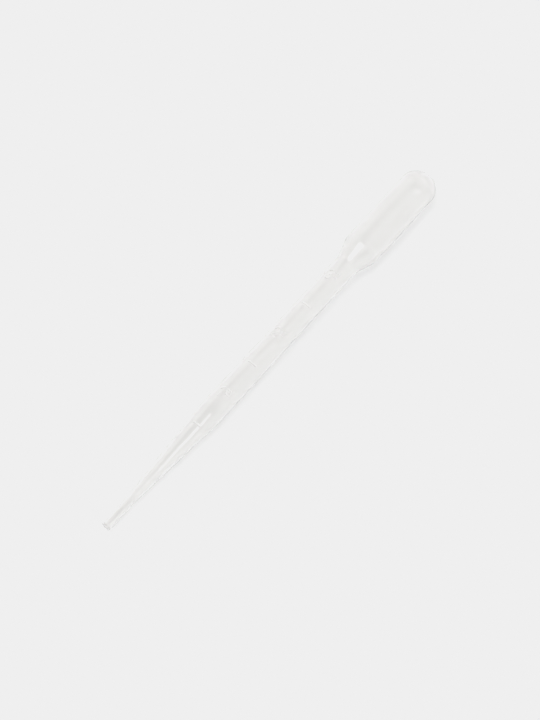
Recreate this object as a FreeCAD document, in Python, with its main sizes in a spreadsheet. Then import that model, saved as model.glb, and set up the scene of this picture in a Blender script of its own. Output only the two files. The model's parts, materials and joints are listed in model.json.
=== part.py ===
import FreeCAD, Part
import math
import os

import Sketcher

# A blow-moulded dropper pipette: one hollow piece of soft polyethylene with an open tip, a long
# taper, a graduated stem, a rounded shoulder and a closed squeeze bulb.
# It lies on its side, as it rests on a bench: +X runs from the tip to the bulb, +Z is up.

# Driving sizes in millimetres and degrees: name, value, what it is.
SIZES = [
    ("total_length", 155.0, "tip end to dome end, along the axis"),
    ("tip_diameter", 3.0, "outside of the straight tip"),
    ("tip_bore", 1.9, "hole in the straight tip"),
    ("tip_length", 12.4, "straight tip, to where the taper starts"),
    ("tip_blend", 80.0, "radius between tip and taper"),
    ("taper_length", 35.0, "tip to stem"),
    ("stem_diameter", 8.0, "outside of the stem at its tip end"),
    ("stem_draft", 0.5, "how much narrower the stem is at its bulb end"),
    ("stem_length", 66.6, "graduated stem"),
    ("stem_wall", 0.5, "wall of the stem"),
    ("stem_blend", 50.0, "radius between taper and stem"),
    ("shoulder_length", 6.4, "stem to bulb"),
    ("shoulder_hollow", 8.0, "radius where the stem flares into the shoulder"),
    ("shoulder_round", 6.0, "radius where the shoulder meets the bulb"),
    ("bulb_diameter", 12.0, "outside of the squeeze bulb"),
    ("bulb_wall", 0.45, "wall of the bulb and shoulder"),
    ("crown_extra", 0.6, "dome's crown radius over the bulb's radius"),
    ("knuckle_less", 0.8, "dome's knuckle radius under the bulb's radius"),
    ("dome_wall", 0.5, "wall at the middle of the dome"),
    ("seam_length", 5.0, "pinch-off seam across the dome"),
    ("seam_width", 0.5, "pinch-off seam"),
    ("seam_height", 0.2, "pinch-off seam, above the dome"),
    ("mark_first", 41.5, "tip end to the first graduation"),
    ("mark_pitch", 13.0, "one graduation to the next"),
    ("mark_width", 0.5, "graduation, along the stem"),
    ("mark_height", 0.16, "graduation, above the stem"),
    ("half_mark_span", 46.0, "angle that a half-unit graduation covers"),
    ("half_mark_turn", 4.0, "its middle, from the top towards -Y"),
    ("unit_mark_span", 22.0, "angle that a whole-unit graduation covers"),
    ("unit_mark_turn", 17.0, "its middle, from the top towards -Y"),
]

# Sizes that follow from the driving ones: name, formula.
# The pipette rests on two outer rounds: the one between taper and stem, and the shoulder's. Each
# is a circle in the section, and the floor is the line that touches both.
DERIVED = [
    ("tip_r", "=Sizes.tip_diameter / 2"),
    ("bore_r", "=Sizes.tip_bore / 2"),
    ("stem_r", "=Sizes.stem_diameter / 2"),
    ("neck_r", "=stem_r - Sizes.stem_draft / 2"),
    ("bulb_r", "=Sizes.bulb_diameter / 2"),
    ("taper_end", "=Sizes.tip_length + Sizes.taper_length"),
    ("stem_end", "=taper_end + Sizes.stem_length"),
    ("shoulder_end", "=stem_end + Sizes.shoulder_length"),
    ("crown_r", "=bulb_r + Sizes.crown_extra"),
    ("knuckle_r", "=bulb_r - Sizes.knuckle_less"),
    ("taper_angle", "=atan((stem_r - tip_r) / Sizes.taper_length)"),
    ("draft_angle", "=atan((stem_r - neck_r) / Sizes.stem_length)"),
    ("shoulder_angle", "=atan((bulb_r - neck_r) / Sizes.shoulder_length)"),
    ("blend_lean", "=(taper_angle - draft_angle) / 2"),
    ("blend_reach", "=Sizes.stem_blend / cos((taper_angle + draft_angle) / 2)"),
    ("blend_x", "=taper_end + blend_reach * sin(blend_lean)"),
    ("blend_y", "=stem_r - blend_reach * cos(blend_lean)"),
    ("round_x", "=shoulder_end + Sizes.shoulder_round * tan(shoulder_angle / 2)"),
    ("round_y", "=bulb_r - Sizes.shoulder_round"),
    ("rounds_apart", "=hypot(round_x - blend_x; round_y - blend_y)"),
    ("rounds_angle", "=atan2(round_y - blend_y; round_x - blend_x)"),
    ("rest_angle", "=rounds_angle + asin((Sizes.shoulder_round - Sizes.stem_blend) / rounds_apart)"),
    ("axis_lift", "=Sizes.shoulder_round + round_y * cos(rest_angle) - round_x * sin(rest_angle)"),
    ("mark_round", "=(pow(Sizes.mark_width / 2; 2) + pow(Sizes.mark_height; 2)) / (2 * Sizes.mark_height)"),
    ("low_x", "=-tip_r * sin(rest_angle)"),
    ("high_x", "=(Sizes.total_length - crown_r) * cos(rest_angle) + crown_r + Sizes.seam_height"),
]

START, END, CENTRE = range(1, 4)  # a line's or an arc's ends, and an arc's centre
X_AXIS, Y_AXIS = -1, -2
ORIGIN = (X_AXIS, START)

doc = FreeCAD.newDocument("Pipette")


def sizes_sheet():
    sheet = doc.addObject("Spreadsheet::Sheet", "Sizes")
    for row, (name, value, meaning) in enumerate(SIZES, start=1):
        sheet.set(f"A{row}", name)
        sheet.set(f"B{row}", str(value))
        sheet.set(f"C{row}", meaning)
        sheet.setAlias(f"B{row}", name)
    return sheet


def derived_sheet():
    sheet = doc.addObject("Spreadsheet::Sheet", "Derived")
    for row, (name, formula) in enumerate(DERIVED, start=1):
        sheet.set(f"A{row}", name)
        sheet.set(f"B{row}", formula)
        sheet.setAlias(f"B{row}", name)
        doc.recompute()
    return sheet


def number(expression):
    """What an expression over the two sheets comes to, for a sketch's first guess."""
    value = derived.evalExpression(expression)
    return getattr(value, "Value", value)


def origin_plane(body, role):
    return next(feature for feature in body.Origin.OriginFeatures if feature.Role == role)


def new_sketch(body, name, role):
    sketch = body.newObject("Sketcher::SketchObject", name)
    sketch.AttachmentSupport = [(origin_plane(body, role), "")]
    sketch.MapMode = "FlatFace"
    return sketch


def bind(sketch, constraint, name, expression):
    """Adds a dimension and ties it to an expression."""
    index = sketch.addConstraint(constraint)
    sketch.renameConstraint(index, name)
    sketch.setExpression(f"Constraints.{name}", expression)


def place(sketch, geometry, end, name, along, radius):
    """Dimensions a point by its distance along the axis and its radius, two expressions."""
    distance_x = Sketcher.Constraint("DistanceX", *ORIGIN, geometry, end, number(along))
    distance_y = Sketcher.Constraint("DistanceY", *ORIGIN, geometry, end, number(radius))
    bind(sketch, distance_x, f"{name}_x", along)
    bind(sketch, distance_y, f"{name}_r", radius)


def arc_between(centre, first, last):
    """The short arc from first to last. Also says which of its ends is first: arcs run
    anticlockwise in a sketch."""
    a = math.atan2(first.y - centre.y, first.x - centre.x)
    b = math.atan2(last.y - centre.y, last.x - centre.x)
    circle = Part.Circle(centre, FreeCAD.Vector(0, 0, 1), (first - centre).Length)
    if (b - a) % (2 * math.pi) < math.pi:
        return Part.ArcOfCircle(circle, a, b), START, END
    return Part.ArcOfCircle(circle, b, a), END, START


def slope(start, end):
    """The angle of the straight between two corners, each a pair of expressions."""
    return f"atan(({end[1]} - ({start[1]})) / ({end[0]} - ({start[0]})))"


def turn_arc(sketch, name, before, corner, after, radius):
    """The arc that rounds a turn. Its centre is on the bisector of the two straights, above them
    where the wall turns outwards and below where it turns back. Returns it and its two ends."""
    lean_in = slope(before, corner)
    lean_out = slope(corner, after)
    side = 1 if number(lean_out) > number(lean_in) else -1
    lean = f"({lean_in} + {lean_out}) / 2"
    reach = f"{side} * {radius} / cos(({lean_out} - {lean_in}) / 2)"
    centre_x = f"{corner[0]} - {reach} * sin({lean})"
    centre_r = f"{corner[1]} + {reach} * cos({lean})"
    centre = FreeCAD.Vector(number(centre_x), number(centre_r), 0)
    touches = []
    for angle in (lean_in, lean_out):
        radians = math.radians(number(angle))
        across = FreeCAD.Vector(math.sin(radians), -math.cos(radians), 0)
        touches.append(centre + across * (side * number(radius)))
    arc, first, last = arc_between(centre, *touches)
    arc_id = sketch.addGeometry(arc, False)
    place(sketch, arc_id, CENTRE, name, centre_x, centre_r)
    bind(sketch, Sketcher.Constraint("Radius", arc_id, number(radius)), f"{name}_round", radius)
    return (arc_id, first, touches[0]), (arc_id, last, touches[1])


def wall_line(sketch, side, corners, rounds):
    """One side of the wall from the tip end to the bulb: straights that join rounded turns.
    corners are pairs of expressions, along the axis and radius, and rounds the radii of all but
    the first and last. Returns the first and last line."""
    points = [FreeCAD.Vector(number(along), number(radius), 0) for along, radius in corners]
    stops = []
    for i, radius in enumerate(rounds, start=1):
        three = corners[i - 1 : i + 2]
        stops.extend(turn_arc(sketch, f"{side}_{i}", *three, radius))
    starts = [points[0]] + [touch for _, _, touch in stops[1::2]]
    finishes = [touch for _, _, touch in stops[0::2]] + [points[-1]]
    lines = []
    for start, finish in zip(starts, finishes):
        lines.append(sketch.addGeometry(Part.LineSegment(start, finish), False))
    for i, (arc, end, _) in enumerate(stops):
        line, line_end = (lines[i // 2], END) if i % 2 == 0 else (lines[i // 2 + 1], START)
        sketch.addConstraint(Sketcher.Constraint("Tangent", line, line_end, arc, end))
    sketch.addConstraint(Sketcher.Constraint("PointOnObject", lines[0], START, Y_AXIS))
    sketch.addConstraint(Sketcher.Constraint("Horizontal", lines[0]))
    sketch.addConstraint(Sketcher.Constraint("Horizontal", lines[-1]))
    return lines[0], lines[-1]


def dome_start(apex, radius, crown, knuckle):
    """Where the bulb's straight line ends: the knuckle's centre along the axis."""
    return f"{apex} - ({crown}) + sqrt(pow({crown} - ({knuckle}); 2) - pow({radius} - ({knuckle}); 2))"


def dome_line(sketch, side, bulb_line, apex, radius, crown, knuckle):
    """One side of the dome: a knuckle arc from the bulb's line and a crown arc to the axis."""
    crown_centre = FreeCAD.Vector(number(apex) - number(crown), 0, 0)
    knuckle_x = number(dome_start(apex, radius, crown, knuckle))
    knuckle_centre = FreeCAD.Vector(knuckle_x, number(radius) - number(knuckle), 0)
    outward = (knuckle_centre - crown_centre).normalize()
    bulb_end = FreeCAD.Vector(knuckle_x, number(radius), 0)
    join = crown_centre + outward * number(crown)
    tip = FreeCAD.Vector(number(apex), 0, 0)
    knuckle_arc, knuckle_first, knuckle_last = arc_between(knuckle_centre, bulb_end, join)
    crown_arc, crown_first, crown_last = arc_between(crown_centre, join, tip)
    k = sketch.addGeometry(knuckle_arc, False)
    c = sketch.addGeometry(crown_arc, False)
    sketch.addConstraint(Sketcher.Constraint("Tangent", bulb_line, END, k, knuckle_first))
    sketch.addConstraint(Sketcher.Constraint("Tangent", k, knuckle_last, c, crown_first))
    sketch.addConstraint(Sketcher.Constraint("PointOnObject", c, CENTRE, X_AXIS))
    sketch.addConstraint(Sketcher.Constraint("PointOnObject", c, crown_last, X_AXIS))
    bind(sketch, Sketcher.Constraint("Radius", k, number(knuckle)), f"{side}_knuckle", knuckle)
    bind(sketch, Sketcher.Constraint("Radius", c, number(crown)), f"{side}_crown", crown)
    reach = Sketcher.Constraint("DistanceX", *ORIGIN, c, crown_last, number(apex))
    bind(sketch, reach, f"{side}_apex", apex)
    return c, crown_last


# The wall's two sides, as expressions: the radii along it, and the dome's apex and two arcs.
SIDES = {
    "outer": {
        "tip": "Derived.tip_r",
        "stem": "Derived.stem_r",
        "neck": "Derived.neck_r",
        "bulb": "Derived.bulb_r",
        "apex": "Sizes.total_length",
        "crown": "Derived.crown_r",
        "knuckle": "Derived.knuckle_r",
    },
    "inner": {
        "tip": "Derived.bore_r",
        "stem": "Derived.stem_r - Sizes.stem_wall",
        "neck": "Derived.neck_r - Sizes.stem_wall",
        "bulb": "Derived.bulb_r - Sizes.bulb_wall",
        "apex": "Sizes.total_length - Sizes.dome_wall",
        "crown": "Derived.crown_r - Sizes.dome_wall",
        "knuckle": "Derived.knuckle_r - Sizes.bulb_wall",
    },
}

# Where the two sides turn from one straight to the next: the place along the axis, which of the
# radii above, and the radius that rounds it.
TURNS = [
    ("Sizes.tip_length", "tip", "Sizes.tip_blend"),
    ("Derived.taper_end", "stem", "Sizes.stem_blend"),
    ("Derived.stem_end", "neck", "Sizes.shoulder_hollow"),
    ("Derived.shoulder_end", "bulb", "Sizes.shoulder_round"),
]


def wall_section(body):
    """The wall's closed section on one side of the axis, outside and inside."""
    sketch = new_sketch(body, "WallSection", "XZ_Plane")
    ends = []
    for side, at in SIDES.items():
        dome = (at["apex"], at["bulb"], at["crown"], at["knuckle"])
        corners = [("0", at["tip"])]
        corners += [(along, at[place_name]) for along, place_name, _ in TURNS]
        corners += [(dome_start(*dome), at["bulb"])]
        rounds = [radius for _, _, radius in TURNS]
        tip_line, bulb_line = wall_line(sketch, side, corners, rounds)
        crown, crown_end = dome_line(sketch, side, bulb_line, *dome)
        ends.append((tip_line, crown, crown_end))
    (outer_tip, outer_crown, outer_end), (inner_tip, inner_crown, inner_end) = ends
    close_section(sketch, (outer_tip, START), (inner_tip, START))
    close_section(sketch, (outer_crown, outer_end), (inner_crown, inner_end))
    return sketch


def close_section(sketch, one, other):
    """A straight line between two loose ends of the section."""
    points = [sketch.getPoint(*end) for end in (one, other)]
    line = sketch.addGeometry(Part.LineSegment(*points), False)
    sketch.addConstraint(Sketcher.Constraint("Coincident", *one, line, START))
    sketch.addConstraint(Sketcher.Constraint("Coincident", *other, line, END))


def surface_radius(along):
    """The outside radius on the taper or the stem, whichever is less at that place."""
    rise = "(Derived.stem_r - Derived.tip_r) / Sizes.taper_length"
    fall = "(Derived.stem_r - Derived.neck_r) / Sizes.stem_length"
    on_taper = f"Derived.tip_r + ({along} - Sizes.tip_length) * {rise}"
    on_stem = f"Derived.stem_r - ({along} - Derived.taper_end) * {fall}"
    return f"min({on_taper}; {on_stem})"


def mark_section(sketch, step):
    """A graduation's section: a half disc with its flat side inside the wall, so that the rib
    stands mark_height above the stem and is mark_width wide there."""
    along = f"(Sizes.mark_first + {step} * Sizes.mark_pitch)"
    centre_r = f"{surface_radius(along)} + Sizes.mark_height - Derived.mark_round"
    radius = number("Derived.mark_round")
    centre = FreeCAD.Vector(number(along), number(centre_r), 0)
    low = centre - FreeCAD.Vector(radius, 0, 0)
    high = centre + FreeCAD.Vector(radius, 0, 0)
    circle = Part.Circle(centre, FreeCAD.Vector(0, 0, 1), radius)
    crest = sketch.addGeometry(Part.ArcOfCircle(circle, 0, math.pi), False)
    base = sketch.addGeometry(Part.LineSegment(low, high), False)
    sketch.addConstraint(Sketcher.Constraint("Coincident", crest, START, base, END))
    sketch.addConstraint(Sketcher.Constraint("Coincident", crest, END, base, START))
    sketch.addConstraint(Sketcher.Constraint("PointOnObject", crest, CENTRE, base))
    sketch.addConstraint(Sketcher.Constraint("Horizontal", base))
    name = f"mark_{step}"
    place(sketch, crest, CENTRE, name, along, centre_r)
    bind(sketch, Sketcher.Constraint("Radius", crest, radius), f"{name}_crest", "Derived.mark_round")


def mark_ribs(body, name, steps, span, turn):
    """Raised graduations, each turned part of the way round the stem."""
    sketch = new_sketch(body, f"{name}Section", "XZ_Plane")
    sketch.AttachmentOffset = FreeCAD.Placement(
        FreeCAD.Vector(0, 0, 0), FreeCAD.Rotation(FreeCAD.Vector(1, 0, 0), number(turn))
    )
    sketch.setExpression("AttachmentOffset.Rotation.Angle", turn)
    for step in steps:
        mark_section(sketch, step)
    ribs = body.newObject("PartDesign::Revolution", name)
    ribs.Profile = sketch
    ribs.ReferenceAxis = (sketch, ["H_Axis"])
    ribs.Midplane = True
    ribs.setExpression("Angle", span)
    return ribs


def pinch_seam(body):
    """The weld where the mould pinched the tube shut: a low bar across the dome."""
    sketch = new_sketch(body, "SeamSection", "XY_Plane")
    centre = "Sizes.total_length - Derived.crown_r"
    inner = "Derived.crown_r - Sizes.dome_wall / 2"
    outer = "Derived.crown_r + Sizes.seam_height"
    reach = "Sizes.seam_length / 2"
    middle = FreeCAD.Vector(number(centre), 0, 0)
    arcs = []
    for name, radius in (("inner", inner), ("outer", outer)):
        across = number(reach)
        forward = math.sqrt(number(radius) ** 2 - across**2)
        left = middle + FreeCAD.Vector(forward, -across, 0)
        right = middle + FreeCAD.Vector(forward, across, 0)
        arc, first, last = arc_between(middle, left, right)
        arc_id = sketch.addGeometry(arc, False)
        sketch.addConstraint(Sketcher.Constraint("PointOnObject", arc_id, CENTRE, X_AXIS))
        bind(
            sketch,
            Sketcher.Constraint("DistanceX", *ORIGIN, arc_id, CENTRE, number(centre)),
            f"{name}_centre",
            centre,
        )
        bind(sketch, Sketcher.Constraint("Radius", arc_id, number(radius)), f"{name}_r", radius)
        bind(
            sketch,
            Sketcher.Constraint("DistanceY", *ORIGIN, arc_id, last, across),
            f"{name}_reach",
            reach,
        )
        sketch.addConstraint(
            Sketcher.Constraint("Symmetric", arc_id, first, arc_id, last, X_AXIS)
        )
        arcs.append((arc_id, first, last))
    (inner_id, inner_first, inner_last), (outer_id, outer_first, outer_last) = arcs
    close_section(sketch, (inner_id, inner_first), (outer_id, outer_first))
    close_section(sketch, (inner_id, inner_last), (outer_id, outer_last))
    seam = body.newObject("PartDesign::Pad", "PinchSeam")
    seam.Profile = sketch
    seam.Midplane = True
    seam.setExpression("Length", "Sizes.seam_width")
    return seam


def pipette():
    body = doc.addObject("PartDesign::Body", "Pipette")
    body.Label = "pipette"
    wall = body.newObject("PartDesign::Revolution", "Wall")
    wall.Profile = wall_section(body)
    wall.ReferenceAxis = (wall.Profile[0], ["H_Axis"])
    wall.Angle = 360
    body.Tip = wall
    doc.recompute()
    mark_ribs(body, "HalfMarks", (0, 2, 4), "Sizes.half_mark_span", "Sizes.half_mark_turn")
    mark_ribs(body, "UnitMarks", (1, 3, 5), "Sizes.unit_mark_span", "Sizes.unit_mark_turn")
    pinch_seam(body)
    # At rest the axis climbs towards the bulb, and the origin is under the middle.
    body.Placement = FreeCAD.Placement(
        FreeCAD.Vector(0, 0, 0), FreeCAD.Rotation(FreeCAD.Vector(0, -1, 0), 1)
    )
    body.setExpression("Placement.Rotation.Angle", "Derived.rest_angle")
    body.setExpression("Placement.Base.x", "-(Derived.low_x + Derived.high_x) / 2")
    body.setExpression("Placement.Base.z", "Derived.axis_lift")
    doc.recompute()
    return body


def check(part):
    for thing in doc.Objects:
        if "Invalid" in thing.State or "Error" in thing.State:
            raise RuntimeError(f"{thing.Name} failed: {thing.State}")
    for thing in doc.Objects:
        if thing.TypeId == "Sketcher::SketchObject" and not thing.FullyConstrained:
            raise RuntimeError(f"{thing.Name} isn't fully constrained")
    if part.Shape.isNull() or not part.Shape.isValid() or len(part.Shape.Solids) != 1:
        raise RuntimeError(f"{part.Label} isn't one valid solid")


sizes = sizes_sheet()
derived = derived_sheet()
doc.recompute()
part = pipette()
check(part)
os.makedirs("parts", exist_ok=True)
part.Shape.exportStep(f"parts/{part.Label}.step")
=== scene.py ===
import json
import math

import bpy
import numpy as np
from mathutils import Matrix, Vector


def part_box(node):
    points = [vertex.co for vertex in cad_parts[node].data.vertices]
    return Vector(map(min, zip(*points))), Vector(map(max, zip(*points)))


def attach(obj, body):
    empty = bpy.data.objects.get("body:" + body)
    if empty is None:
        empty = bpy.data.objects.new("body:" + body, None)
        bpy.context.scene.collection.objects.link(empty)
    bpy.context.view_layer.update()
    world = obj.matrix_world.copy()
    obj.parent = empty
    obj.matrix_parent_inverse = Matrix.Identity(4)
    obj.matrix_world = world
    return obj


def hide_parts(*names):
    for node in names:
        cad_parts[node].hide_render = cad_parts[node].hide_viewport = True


# The looks of a one-piece polyethylene dropper pipette: its hollow translucent wall with the
# moulded graduations and numerals, a pale floor, soft light all round, a lamp and the camera.
# Sizes are in millimetres, and places along the pipette's own axis count from the tip end, unless
# a comment says metres.

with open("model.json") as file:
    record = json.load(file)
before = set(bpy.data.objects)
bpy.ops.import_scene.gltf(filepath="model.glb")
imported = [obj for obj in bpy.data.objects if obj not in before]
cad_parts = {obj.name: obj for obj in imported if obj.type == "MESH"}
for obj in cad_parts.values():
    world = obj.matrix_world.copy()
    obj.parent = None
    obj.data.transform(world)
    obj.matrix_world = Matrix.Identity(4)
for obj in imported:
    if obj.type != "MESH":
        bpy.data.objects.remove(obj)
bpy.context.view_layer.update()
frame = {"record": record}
record = frame["record"]
mounts = {mount["name"]: mount for mount in record["mounts"]}
tip_mount = mounts["tip_outside"]
grip_mount = mounts["bulb_grip"]
MM = 0.001

# ---- the pipette's own axis, from the mount round its tip ----
AXIS = -Vector(tip_mount["axis"]).normalized()
TIP_END = Vector(tip_mount["pos_m"]) - AXIS * (tip_mount["dims"]["length_mm"] * MM / 2)
SIDE = Vector((0, 1, 0))
UP = AXIS.cross(SIDE).normalized()

# ---- the wall's section, as the part's source makes it ----
TOTAL = 155.0
TIP_R = tip_mount["dims"]["r_mm"]
BORE_R = mounts["tip_bore"]["dims"]["r_mm"]
BULB_R = grip_mount["dims"]["r_mm"]
STEM_R = 4.0
NECK_R = 3.75
TIP_TURN = 12.4  # tip to taper
STEM_TURN = 47.4  # taper to stem
NECK_TURN = 114.0  # stem to shoulder
BULB_TURN = 120.4  # shoulder to bulb
ROUNDS = (80.0, 50.0, 8.0, 6.0)  # the radius at each of those turns
STEM_WALL = 0.5
BULB_WALL = 0.45
DOME_WALL = 0.5
CROWN_R = BULB_R + 0.6
KNUCKLE_R = BULB_R - 0.8
TIP_EDGE = 0.08  # the cut end's slight rounding

# ---- the pinch-off seam across the dome ----
SEAM_LENGTH = 5.0
SEAM_WIDTH = 0.5
SEAM_HEIGHT = 0.2

# ---- marks moulded on the stem ----
MARKS = 6  # half-unit and whole-unit marks take turns, and a half comes first
MARK_FIRST = 41.5
MARK_PITCH = 13.0
MARK_WIDTH = 0.5
MARK_HEIGHT = 0.16
HALF_MARK = (4.0, 46.0)  # middle, from the top towards -Y, and span, in degrees
UNIT_MARK = (17.0, 22.0)
DIGIT_HEIGHT = 3.4
DIGIT_MIDDLE = -1.15  # along the arc from the top, towards -Y
STROKE = 0.42
STROKE_HEIGHT = 0.14
STROKE_EDGE = 0.1  # how wide a raised form's slope is
UNIT_TEXT_HEIGHT = 1.4
UNIT_TEXT_STROKE = STROKE * 0.55
UNIT_TEXT_FOOT = 0.75  # past its mark
UNIT_TEXT_MIDDLES = {"m": -0.25, "l": 0.95}  # round the stem from the mark's middle

# ---- how fine the mesh is ----
OUTER_STEP = 1.0  # degrees along each rounding
INNER_STEP = 3.0
MARKED_TURN = 36  # degrees from the top, with every mark and numeral inside it
FINE_TURN = 1.35  # degrees from column to column there
COARSE_COLUMNS = 120  # over the rest of the way round
OUTER_ROWS = np.arange(0.5, 150.0, 2.0)  # the dome has rows of its own
INNER_ROWS = np.arange(1.5, 150.0, 2.5)
FINE_ROW = 0.1
HALF_MARK_ROWS = 0.4  # how far the fine rows reach to each side of a mark
UNIT_MARK_ROWS = 2.4
LEAST_ROW = 0.03  # an extra row nearer than this to another is left out


# ---------------------------------------------------------------- the section
def rounded_line(corners, rounds, step):
    """Points (along, radius) of a line through the corners with its inner corners rounded."""
    points = [np.array(corners[0], float)]
    for before, corner, after, radius in zip(corners, corners[1:], corners[2:], rounds):
        before, corner, after = (np.array(p, float) for p in (before, corner, after))
        way_in = (corner - before) / np.linalg.norm(corner - before)
        way_out = (after - corner) / np.linalg.norm(after - corner)
        turn = math.acos(np.clip(way_in @ way_out, -1, 1))
        reach = radius * math.tan(turn / 2)
        first = corner - way_in * reach
        side = np.sign(way_in[0] * way_out[1] - way_in[1] * way_out[0])
        across = np.array([-way_in[1], way_in[0]]) * side
        centre = first + across * radius
        count = max(6, math.ceil(math.degrees(turn) / step))
        for i in range(count + 1):
            angle = turn * i / count
            points.append(
                centre - across * radius * math.cos(angle) + way_in * radius * math.sin(angle)
            )
    points.append(np.array(corners[-1], float))
    return points


def dome_points(apex, radius, crown, knuckle, step):
    """Points from the bulb's straight side round the knuckle and the crown to the axis."""
    start = apex - crown + math.sqrt((crown - knuckle) ** 2 - (radius - knuckle) ** 2)
    join = math.atan2(radius - knuckle, start - (apex - crown))
    points = []
    steps = round(math.degrees(math.pi / 2 - join) / step)
    for i in range(steps + 1):
        angle = math.pi / 2 - (math.pi / 2 - join) * i / steps
        points.append(
            (start + knuckle * math.cos(angle), radius - knuckle + knuckle * math.sin(angle))
        )
    steps = round(math.degrees(join) / step)
    for i in range(1, steps + 1):
        angle = join * (1 - i / steps)
        points.append((apex - crown + crown * math.cos(angle), crown * math.sin(angle)))
    return start, [np.array(p) for p in points]


def section(tip, stem, neck, bulb, apex, crown, knuckle, step):
    """One side of the wall as points (along, radius), from the tip end to the dome's top."""
    start, dome = dome_points(apex, bulb, crown, knuckle, step)
    corners = [
        (0, tip), (TIP_TURN, tip), (STEM_TURN, stem), (NECK_TURN, neck), (BULB_TURN, bulb),
        (start, bulb),
    ]
    return np.array(rounded_line(corners, ROUNDS, step)[:-1] + dome)


outer = section(TIP_R, STEM_R, NECK_R, BULB_R, TOTAL, CROWN_R, KNUCKLE_R, OUTER_STEP)
inner = section(
    BORE_R,
    STEM_R - STEM_WALL,
    NECK_R - STEM_WALL,
    BULB_R - BULB_WALL,
    TOTAL - DOME_WALL,
    CROWN_R - DOME_WALL,
    KNUCKLE_R - BULB_WALL,
    INNER_STEP,
)


def refine(line, places):
    """The same line with extra points at the given places along the axis."""
    along = line[:, 0]
    rising = np.concatenate([[True], np.diff(along) > 1e-6])
    extra = [(x, float(np.interp(x, along[rising], line[rising, 1]))) for x in places]
    extra = [p for p in extra if np.abs(along - p[0]).min() > LEAST_ROW]
    both = np.vstack([line, np.array(extra)])
    cut = line[:, 0].max() - CROWN_R  # the dome's points keep their order
    body = both[both[:, 0] < cut]
    return np.vstack([body[np.argsort(body[:, 0])], line[line[:, 0] >= cut]])


# ---------------------------------------------------------------- the embossing
def arc_stroke(cx, cy, radius, from_angle, to_angle, steps=14):
    angles = np.radians(np.linspace(from_angle, to_angle, steps))
    return [(cx + radius * math.cos(a), cy + radius * math.sin(a)) for a in angles]


# Strokes in heights of the letter: x to the reader's right, y up.
GLYPHS = {
    "1": [[(-0.2, 0.74), (0.06, 1.0), (0.06, 0.0)]],
    "2": [arc_stroke(0, 0.71, 0.29, 165, -38) + [(-0.3, 0.0), (0.3, 0.0)]],
    "3": [arc_stroke(0, 0.75, 0.25, 155, -90), arc_stroke(0, 0.26, 0.26, 90, -155)],
    "m": [
        [(-0.55, 0.68), (-0.55, 0.0)],
        [(-0.55, 0.4)] + arc_stroke(-0.275, 0.4, 0.275, 180, 0) + [(0.0, 0.0)],
        [(0.0, 0.4)] + arc_stroke(0.275, 0.4, 0.275, 180, 0) + [(0.55, 0.0)],
    ],
    "l": [[(0.0, 1.0), (0.0, 0.0)]],
}


def stroke_distance(x, y, line):
    """How far each point is from a line of straight strokes."""
    best = np.full(np.shape(x), 1e9)
    for (ax, ay), (bx, by) in zip(line, line[1:]):
        dx, dy = bx - ax, by - ay
        along = np.clip(((x - ax) * dx + (y - ay) * dy) / (dx * dx + dy * dy), 0, 1)
        best = np.minimum(best, np.hypot(x - ax - along * dx, y - ay - along * dy))
    return best


def smooth(value):
    """The value kept between 0 and 1, and eased at both ends."""
    value = np.clip(value, 0, 1)
    return value * value * (3 - 2 * value)


def glyph_height(along, arc, glyph, foot, middle, height, stroke):
    """The raised height of one letter whose foot is at foot along the axis."""
    rise = np.zeros(np.shape(along))
    for line in GLYPHS[glyph]:
        scaled = [(px * height, py * height) for px, py in line]
        away = stroke_distance(arc - middle, along - foot, scaled)
        rise = np.maximum(rise, smooth((stroke / 2 - away) / STROKE_EDGE + 0.5))
    return rise * STROKE_HEIGHT


def mark_height(along, turn, place, middle, span):
    """The raised height of a graduation: round across, with softened ends."""
    crest = ((MARK_WIDTH / 2) ** 2 + MARK_HEIGHT**2) / (2 * MARK_HEIGHT)
    away = np.clip(np.abs(along - place), 0, crest)
    ridge = np.clip(np.sqrt(crest**2 - away**2) - crest + MARK_HEIGHT, 0, None)
    inside = (span / 2 - np.abs(turn - middle)) * math.radians(STEM_R)
    return ridge * smooth(inside / STROKE_EDGE)


def emboss(along, turn):
    """How far the outside stands out, at places along the axis and turns in degrees."""
    arc = np.radians(turn) * STEM_R
    unit_middle = math.radians(UNIT_MARK[0]) * STEM_R
    rise = np.zeros(np.shape(along))
    for step in range(MARKS):
        place = MARK_FIRST + step * MARK_PITCH
        near = np.abs(along - place) < DIGIT_HEIGHT
        if step % 2 == 0:
            made = mark_height(along, turn, place, *HALF_MARK)
        else:
            made = mark_height(along, turn, place, *UNIT_MARK)
            digit = str((step + 1) // 2)
            letters = [(digit, place - DIGIT_HEIGHT / 2, DIGIT_MIDDLE, DIGIT_HEIGHT, STROKE)]
            for letter, middle in UNIT_TEXT_MIDDLES.items():
                foot = place + UNIT_TEXT_FOOT
                middle = unit_middle + middle
                letters.append((letter, foot, middle, UNIT_TEXT_HEIGHT, UNIT_TEXT_STROKE))
            for letter in letters:
                made = np.maximum(made, glyph_height(along, arc, *letter))
        rise = np.where(near, np.maximum(rise, made), rise)
    return rise


# ---------------------------------------------------------------- the mesh
def turns():
    """The mesh's columns in degrees from the top: close together where the marks are."""
    fine = np.arange(-MARKED_TURN, MARKED_TURN + 0.1, FINE_TURN)
    rest = np.linspace(fine[-1], 360 + fine[0], COARSE_COLUMNS + 2)[1:-1]
    return np.concatenate([fine, rest])


def rows():
    """Extra places along the axis: close together at the marks, and every few mm elsewhere."""
    places = list(OUTER_ROWS)
    for step in range(MARKS):
        place = MARK_FIRST + step * MARK_PITCH
        reach = HALF_MARK_ROWS if step % 2 == 0 else UNIT_MARK_ROWS
        places += list(np.arange(place - reach, place + reach + 0.01, FINE_ROW))
    places = np.sort(places)
    return places[np.concatenate([[True], np.diff(places) > LEAST_ROW])]


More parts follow.
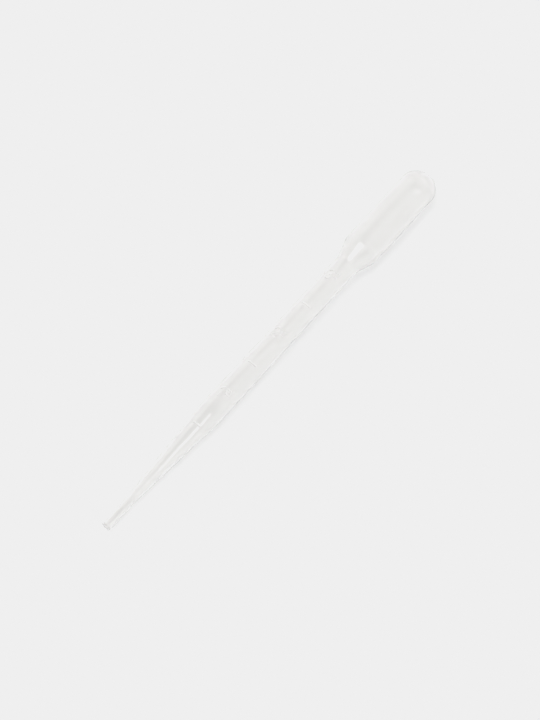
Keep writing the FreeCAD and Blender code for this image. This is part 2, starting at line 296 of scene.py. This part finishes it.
def seam_height(along, radius, turn):
    """The pinch-off seam's raised height on the dome, away from the crown's centre."""
    sideways = radius * np.sin(np.radians(turn))
    upward = radius * np.cos(np.radians(turn))
    on_dome = along > TOTAL - CROWN_R
    across = smooth((SEAM_WIDTH / 2 - np.abs(upward)) / STROKE_EDGE + 0.5)
    ends = smooth((SEAM_LENGTH / 2 - np.abs(sideways)) / STROKE_EDGE)
    return np.where(on_dome, across * ends * SEAM_HEIGHT, 0)


def to_frame(along, radius, turn):
    """Points in the row frame, in metres."""
    angle = np.radians(turn)
    axis, up, side = (np.array(v) for v in (AXIS, UP, SIDE))
    flat = along[..., None] * axis + (radius * np.cos(angle))[..., None] * up
    flat = flat - (radius * np.sin(angle))[..., None] * side
    return flat * MM + np.array(TIP_END)


def skin(line, columns, embossed):
    """A grid of points over one side of the wall, and its last point on the axis."""
    along = np.repeat(line[:-1, :1], len(columns), axis=1)
    radius = np.repeat(line[:-1, 1:], len(columns), axis=1)
    turn = np.repeat(columns[None, :], len(line) - 1, axis=0)
    if embossed:
        seam = seam_height(along, radius, turn)
        radius = radius + emboss(along, (turn + 180) % 360 - 180)
        away = along - (TOTAL - CROWN_R)
        scale = 1 + seam / np.hypot(away, radius)
        along = along + away * (scale - 1)
        radius = radius * scale
    end = line[-1, 0] + (SEAM_HEIGHT if embossed else 0)
    return to_frame(along, radius, turn), to_frame(*np.array([[end], [0.0], [0.0]]))


def tip_rim(line, inward):
    """The line with the cut end's corner rounded, from the flat end to the side."""
    rim = []
    side = -1 if inward else 1
    for angle in np.radians((90, 60, 30)):
        rim.append(
            (
                TIP_EDGE * (1 - math.sin(angle)),
                line[0, 1] - side * TIP_EDGE * (1 - math.cos(angle)),
            )
        )
    rim.append((TIP_EDGE, line[0, 1]))
    return np.vstack([np.array(rim), line[line[:, 0] > TIP_EDGE + 0.01]])


def stitch(rows_count, columns_count, base, flip):
    """Quads over a grid that closes on itself across its columns."""
    i, j = np.meshgrid(np.arange(rows_count - 1), np.arange(columns_count), indexing="ij")
    k = (j + 1) % columns_count
    quads = np.stack(
        [i * columns_count + j, i * columns_count + k, (i + 1) * columns_count + k,
         (i + 1) * columns_count + j], axis=-1,
    ).reshape(-1, 4) + base
    return quads[:, ::-1] if flip else quads


def pipette_mesh():
    columns = turns()
    outside = tip_rim(refine(outer, rows()), False)
    inside = tip_rim(refine(inner, INNER_ROWS), True)
    out_points, out_end = skin(outside, columns, True)
    in_points, in_end = skin(inside, columns, False)
    count = len(columns)
    points = np.vstack([out_points.reshape(-1, 3), out_end, in_points.reshape(-1, 3), in_end])
    out_rows, in_rows = out_points.shape[0], in_points.shape[0]
    in_base = out_rows * count + 1
    faces = stitch(out_rows, count, 0, False).tolist()
    faces += stitch(in_rows, count, in_base, True).tolist()
    for j in range(count):
        k = (j + 1) % count
        last = (out_rows - 1) * count
        faces.append((last + j, last + k, out_rows * count))
        last = in_base + (in_rows - 1) * count
        faces.append((last + k, last + j, in_base + in_rows * count))
        faces.append((k, j, in_base + j, in_base + k))
    mesh = bpy.data.meshes.new("pipette_wall")
    mesh.from_pydata(points.tolist(), [], faces)
    mesh.validate()
    mesh.update()
    mesh.shade_smooth()
    return mesh


# ---------------------------------------------------------------- materials
NATURAL_TINT = (0.986, 0.981, 0.9745, 1)
WALL_IOR = 1.6
SATIN_ROUGHNESS = (0.28, 0.32)  # from least to most
POLISHED_ROUGHNESS = (0.03, 0.05)
COAT_ROUGHNESS = 0.03
POLISHED_SHARES = (0.74, 1.0)  # where light meets a wall and where it leaves one
SEE_THROUGH = (0.97, 0.27)  # the glass share facing and at the rims
STRAIGHT_THROUGH = (0.985, 0.865)  # the same for light on its way to the floor
CLOUDS = (260, 3)  # scale and detail of the noise behind the roughness
GRAIN = (900, 2)  # and of the surface's fine bumps
GRAIN_STRENGTH = 0.05
GRAIN_DEPTH = 0.00003  # metres
FLOOR_COLOUR = (0.711, 0.711, 0.711, 1)


def polyethylene():
    """Natural low-density polyethylene: clear enough to see through, satin and a little warm.

    The outside of a wall is part polished, part satin under a smooth skin; light leaving a wall
    meets a polished face only. The wall goes milky at grazing angles. Light on its way to the
    floor passes straight through, less so at the rims, so that the thin wall throws a pale
    shadow."""
    material = bpy.data.materials.new("polyethylene")
    material.use_nodes = True
    nodes, links = material.node_tree.nodes, material.node_tree.links
    nodes.clear()
    place = nodes.new("ShaderNodeTexCoord").outputs["Object"]

    def power(value, exponent):
        node = nodes.new("ShaderNodeMath")
        node.operation = "POWER"
        links.new(value, node.inputs[0])
        node.inputs[1].default_value = exponent
        return node.outputs[0]

    def spread(value, ends):
        node = nodes.new("ShaderNodeMapRange")
        node.inputs["To Min"].default_value, node.inputs["To Max"].default_value = ends
        links.new(value, node.inputs["Value"])
        return node.outputs["Result"]

    def noise(scale, detail):
        node = nodes.new("ShaderNodeTexNoise")
        node.inputs["Scale"].default_value = scale
        node.inputs["Detail"].default_value = detail
        links.new(place, node.inputs["Vector"])
        return node.outputs["Fac"]

    def mixed(share, first, second):
        node = nodes.new("ShaderNodeMixShader")
        links.new(share, node.inputs["Fac"])
        links.new(first, node.inputs[1])
        links.new(second, node.inputs[2])
        return node.outputs["Shader"]

    weight = nodes.new("ShaderNodeLayerWeight")
    weight.inputs["Blend"].default_value = 0.5
    facing = weight.outputs["Facing"]
    see_through = spread(power(facing, 3.0), SEE_THROUGH)
    clouds = noise(*CLOUDS)
    bump = nodes.new("ShaderNodeBump")
    bump.inputs["Strength"].default_value = GRAIN_STRENGTH
    bump.inputs["Distance"].default_value = GRAIN_DEPTH
    links.new(noise(*GRAIN), bump.inputs["Height"])

    satin = nodes.new("ShaderNodeBsdfPrincipled")
    polished = nodes.new("ShaderNodeBsdfPrincipled")
    for shader, roughness in ((satin, SATIN_ROUGHNESS), (polished, POLISHED_ROUGHNESS)):
        shader.inputs["Base Color"].default_value = NATURAL_TINT
        shader.inputs["IOR"].default_value = WALL_IOR
        links.new(see_through, shader.inputs["Transmission Weight"])
        links.new(spread(clouds, roughness), shader.inputs["Roughness"])
        links.new(bump.outputs["Normal"], shader.inputs["Normal"])
    satin.inputs["Coat Weight"].default_value = 1.0
    satin.inputs["Coat Roughness"].default_value = COAT_ROUGHNESS
    links.new(bump.outputs["Normal"], satin.inputs["Coat Normal"])
    leaving = nodes.new("ShaderNodeNewGeometry").outputs["Backfacing"]
    share = spread(leaving, POLISHED_SHARES)
    wall = mixed(share, satin.outputs["BSDF"], polished.outputs["BSDF"])

    straight = nodes.new("ShaderNodeBsdfTransparent")
    links.new(spread(power(facing, 2.0), STRAIGHT_THROUGH), straight.inputs["Color"])
    path = nodes.new("ShaderNodeLightPath")
    passing = nodes.new("ShaderNodeMath")
    passing.operation = "MAXIMUM"
    links.new(path.outputs["Is Shadow Ray"], passing.inputs[0])
    links.new(path.outputs["Is Diffuse Ray"], passing.inputs[1])
    out = nodes.new("ShaderNodeOutputMaterial")
    surface = mixed(passing.outputs[0], wall, straight.outputs["BSDF"])
    links.new(surface, out.inputs["Surface"])
    return material


def floor_material():
    material = bpy.data.materials.new("pale_floor")
    material.use_nodes = True
    paper = material.node_tree.nodes["Principled BSDF"]
    paper.inputs["Base Color"].default_value = FLOOR_COLOUR
    paper.inputs["Roughness"].default_value = 0.9
    paper.inputs["Specular IOR Level"].default_value = 0.0
    return material


# ---------------------------------------------------------------- the pipette
pipette = bpy.data.objects.new("pipette_wall", pipette_mesh())
bpy.context.scene.collection.objects.link(pipette)
pipette.data.materials.append(polyethylene())
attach(pipette, "root")
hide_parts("pipette")

# ---------------------------------------------------------------- floor, light and camera
# The sky's patches of light and dark, as sky() reads them.
EVEN_LIGHT = 1.0
WINDOW = ((-0.2, 0.065, 0.97), -8, 0.17, 0.245, 2.4, 0.02)
STRIP_LAMP = ((0.12, -0.42, 0.9), 90, 0.085, 0.045, 3.0, 0.015)
GAP_BY_WINDOW = ((0.13, 0.15, 0.98), 90, 0.4, 0.1, -0.8, 0.05)
GAP_BEYOND = ((0.31, 0.28, 0.9), 90, 0.26, 0.1, -0.5, 0.1)
GAP_BY_STRIP = ((0.215, -0.5, 0.84), 90, 0.35, 0.035, -1.0, 0.02)
DARK_BEHIND = ((-0.68, 0.0, 0.73), 0, 0.24, 0.8, -1.0, 0.08)
PATCHES = [WINDOW, STRIP_LAMP, GAP_BY_WINDOW, GAP_BEYOND, GAP_BY_STRIP, DARK_BEHIND]

LAMP_FROM = (-0.12, 0.02, 1.0)
LAMP_STRENGTH = 1.8
LAMP_WIDTH = math.radians(7)

FLOOR_REACH = 6.0  # metres
TARGET = Vector((0, 0, 0.004))  # metres
CAMERA_DISTANCE = 0.7  # metres
CAMERA_TURN = math.radians(50.14)
CAMERA_ELEVATION = math.radians(63)
CAMERA_LENS = 113.26  # on a sensor 36 mm wide
CAMERA_SHIFT = (-0.004014, -0.018625)
PAPER_GREY = 0.863  # of a screen's full brightness


def make_floor():
    mesh = bpy.data.meshes.new("floor")
    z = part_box("pipette")[0].z
    reach = FLOOR_REACH
    corners = [(-reach, -reach, z), (reach, -reach, z), (reach, reach, z), (-reach, reach, z)]
    mesh.from_pydata(corners, [], [(0, 1, 2, 3)])
    floor = bpy.data.objects.new("floor", mesh)
    bpy.context.scene.collection.objects.link(floor)
    floor.data.materials.append(floor_material())


def sky(world, base, patches):
    """Even soft light all round with soft-edged patches, such as a lamp's light or a dark gap.
    A patch is the direction of its middle, the turn of its length from X in degrees, half its
    length and half its width as sines, its light over the rest and how soft its edge is."""
    tree = world.node_tree
    nodes, links = tree.nodes, tree.links
    way = nodes.new("ShaderNodeTexCoord").outputs["Generated"]

    def math_node(kind, *values, clamp=False):
        node = nodes.new("ShaderNodeMath")
        node.operation = kind
        node.use_clamp = clamp
        for socket, value in zip(node.inputs, values):
            if isinstance(value, (int, float)):
                socket.default_value = value
            else:
                links.new(value, socket)
        return node.outputs[0]

    def dot(vector):
        node = nodes.new("ShaderNodeVectorMath")
        node.operation = "DOT_PRODUCT"
        links.new(way, node.inputs[0])
        node.inputs[1].default_value = vector
        return node.outputs["Value"]

    light = base
    for direction, turn, half_along, half_across, strength, edge in patches:
        middle = Vector(direction).normalized()
        heading = Vector((math.cos(math.radians(turn)), math.sin(math.radians(turn)), 0))
        across = middle.cross(heading).normalized()
        along = across.cross(middle)
        mask = math_node("GREATER_THAN", dot(middle), 0.0)
        for axis, half in ((along, half_along), (across, half_across)):
            away = math_node("ABSOLUTE", dot(axis))
            side = math_node("DIVIDE", math_node("SUBTRACT", half, away), edge)
            mask = math_node("MULTIPLY", mask, math_node("ADD", side, 0.5, clamp=True))
        light = math_node("ADD", light, math_node("MULTIPLY", mask, strength))
    background = nodes["Background"]
    background.inputs["Color"].default_value = (1, 1, 1, 1)
    links.new(math_node("MAXIMUM", light, 0.0), background.inputs["Strength"])


def make_world():
    world = bpy.data.worlds.new("studio")
    bpy.context.scene.world = world
    world.use_nodes = True
    sky(world, EVEN_LIGHT, PATCHES)


def make_lamp():
    """A soft lamp that lights the floor and throws the shadow. The plastic doesn't mirror it."""
    data = bpy.data.lights.new("lamp", "SUN")
    data.energy = LAMP_STRENGTH
    data.angle = LAMP_WIDTH
    lamp = bpy.data.objects.new("lamp", data)
    lamp.rotation_mode = "QUATERNION"
    lamp.rotation_quaternion = Vector(LAMP_FROM).to_track_quat("Z", "Y")
    lamp.visible_glossy = False
    lamp.visible_transmission = False
    bpy.context.scene.collection.objects.link(lamp)


def make_camera():
    data = bpy.data.cameras.new("camera")
    data.sensor_width = 36
    data.lens = CAMERA_LENS
    data.shift_x, data.shift_y = CAMERA_SHIFT
    camera = bpy.data.objects.new("camera", data)
    bpy.context.scene.collection.objects.link(camera)
    back = Vector((
        -math.sin(CAMERA_TURN) * math.cos(CAMERA_ELEVATION),
        -math.cos(CAMERA_TURN) * math.cos(CAMERA_ELEVATION),
        math.sin(CAMERA_ELEVATION),
    ))
    camera.location = TARGET + back * CAMERA_DISTANCE
    camera.rotation_mode = "QUATERNION"
    camera.rotation_quaternion = back.to_track_quat("Z", "Y")
    bpy.context.scene.camera = camera


def set_view():
    """The picture's brightest parts clip to the pale grey of an evenly lit sheet."""
    view = bpy.context.scene.view_settings
    view.view_transform = "Standard"
    view.use_curve_mapping = True
    view.curve_mapping.extend = "HORIZONTAL"
    view.curve_mapping.curves[3].points[1].location = (1.0, PAPER_GREY)
    view.curve_mapping.update()


make_floor()
make_world()
make_lamp()
make_camera()
set_view()
